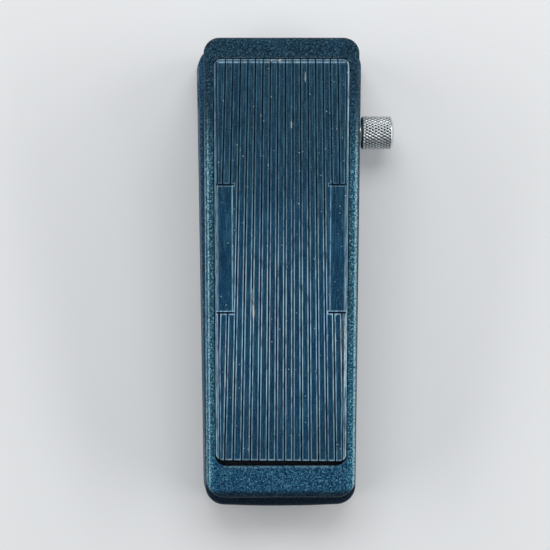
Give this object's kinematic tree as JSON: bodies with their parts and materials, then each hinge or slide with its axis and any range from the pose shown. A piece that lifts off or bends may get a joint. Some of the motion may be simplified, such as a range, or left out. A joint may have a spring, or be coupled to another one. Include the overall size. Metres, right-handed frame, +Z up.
{
  "type": "volume pedal",
  "caption": "Rack-and-pinion volume pedal: a ribbed rocking treadle on a cast base, with side jacks and a knurled minimum-volume knob.",
  "frame": {"origin": "on the floor, in the middle of the pedal's footprint, knob included", "axes": "+X to the player's right (knob side), +Y to the toe end, +Z up"},
  "size_m": [0.109, 0.254, 0.0822],
  "materials": {
    "cast_paint": "textured baked enamel, worn at the edges",
    "plate_steel": "zinc-plated sheet steel",
    "tread_rubber": "moulded ribbed rubber, scuffed",
    "foot_rubber": "moulded rubber",
    "steel": "turned and ground steel",
    "screw_steel": "zinc plated",
    "nickel": "nickel plate",
    "nylon": "natural nylon",
    "acetal": "natural acetal",
    "phenolic": "phenolic board",
    "brass": "tinned and plain brass",
    "knob_nickel": "diamond-knurled, nickel plated"
  },
  "bodies": {
    "base": {"base_housing": "cast_paint", "base_plate": "plate_steel", "pot_bracket": "plate_steel", "rack_guide": "plate_steel", "rubber_feet": "foot_rubber", "stop_bumpers": "foot_rubber", "foot_screws": "screw_steel", "plate_screws": "screw_steel", "bracket_screws": "screw_steel", "guide_screw": "screw_steel", "tension_screw": "screw_steel", "tension_lock_nut": "screw_steel", "pivot_bushes": "nylon", "tension_pad": "nylon", "volume_pot": "nickel", "minimum_pot": "nickel", "volume_pot_tags": "brass", "minimum_pot_tags": "brass", "volume_pot_washer": "nickel", "volume_pot_nut": "nickel", "minimum_pot_washer": "nickel", "minimum_pot_nut": "nickel", "input_jack": "nickel", "output_jack": "nickel", "input_jack_insulator": "phenolic", "output_jack_insulator": "phenolic", "input_jack_tip_spring": "nickel", "output_jack_tip_spring": "nickel", "jack_washers": "nickel", "jack_nuts": "nickel"},
    "treadle": {"treadle": "cast_paint", "tread_pad": "tread_rubber", "pivot_shaft": "steel", "shaft_set_screws": "steel", "rack_pin": "steel", "rack_pin_clips": "steel"},
    "rack": {"rack": "acetal"},
    "volume_pinion": {"pinion": "acetal", "pinion_set_screw": "steel", "volume_pot_shaft": "brass"},
    "minimum_knob": {"knob": "knob_nickel", "knob_set_screw": "steel", "minimum_pot_shaft": "brass"}
  },
  "joints": [
    {"name": "treadle_rock", "type": "hinge", "parent": "base", "child": "treadle", "pos_m": [-0.0084, 0.0035, 0.052], "axis": [-1, 0, 0], "range_deg": [0, 18]},
    {"name": "rack_hang", "type": "hinge", "parent": "treadle", "child": "rack", "pos_m": [-0.0084, 0.05091, 0.05951], "axis": [-1, 0, 0], "range_deg": [-18, 0]},
    {"name": "volume_turn", "type": "hinge", "parent": "base", "child": "volume_pinion", "pos_m": [-0.0084, 0.06062, 0.026], "axis": [1, 0, 0], "range_deg": [0, 143.42]},
    {"name": "minimum_turn", "type": "hinge", "parent": "base", "child": "minimum_knob", "pos_m": [0.0416, 0.079, 0.019], "axis": [1, 0, 0], "range_deg": [-150, 150]}
  ],
  "couplings": [
    {"joint": "rack_hang", "follows": "treadle_rock", "ratio": -1},
    {"joint": "volume_turn", "follows": "treadle_rock", "ratio": 7.9671}
  ]
}
